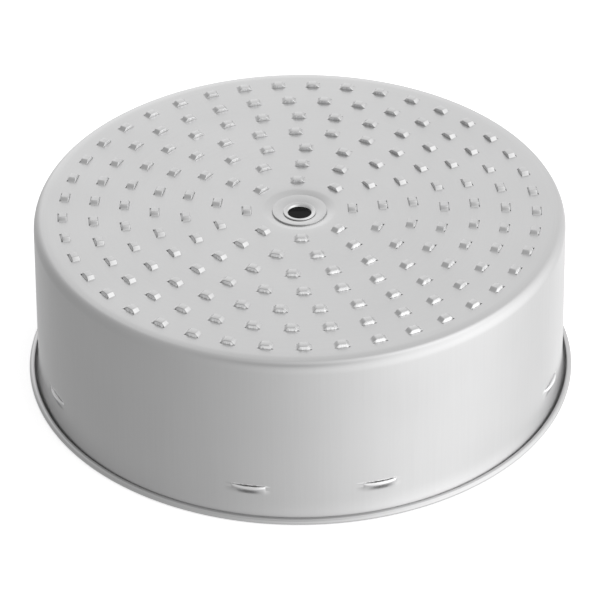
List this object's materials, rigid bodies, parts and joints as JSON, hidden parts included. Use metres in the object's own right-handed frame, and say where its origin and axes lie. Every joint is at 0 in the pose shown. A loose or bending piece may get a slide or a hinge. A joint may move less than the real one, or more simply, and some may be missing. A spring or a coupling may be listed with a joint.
{
  "type": "coffee urn filter basket",
  "caption": "Round drawn sheet-metal coffee basket, stored upside down: a lanced base, overflow louvres beside the curled rim, and a washer and rolled eyelet as the stem's bearing.",
  "frame": {"origin": "centre of the rim's plane, which is the bottom of the part as it stands upside down", "axes": "+Z from the rim's plane towards the pierced base; -Y towards the middle of the front pair of louvres"},
  "size_m": [0.2, 0.2, 0.0675],
  "materials": {
    "drawn_aluminium": "satin, with fine spun lines round the wall and base",
    "washer_aluminium": "satin, stamped",
    "eyelet_metal": "smooth, rolled"
  },
  "bodies": {
    "root": {"basket_shell": "drawn_aluminium", "hub_washer": "washer_aluminium", "hub_eyelet": "eyelet_metal"}
  },
  "joints": []
}
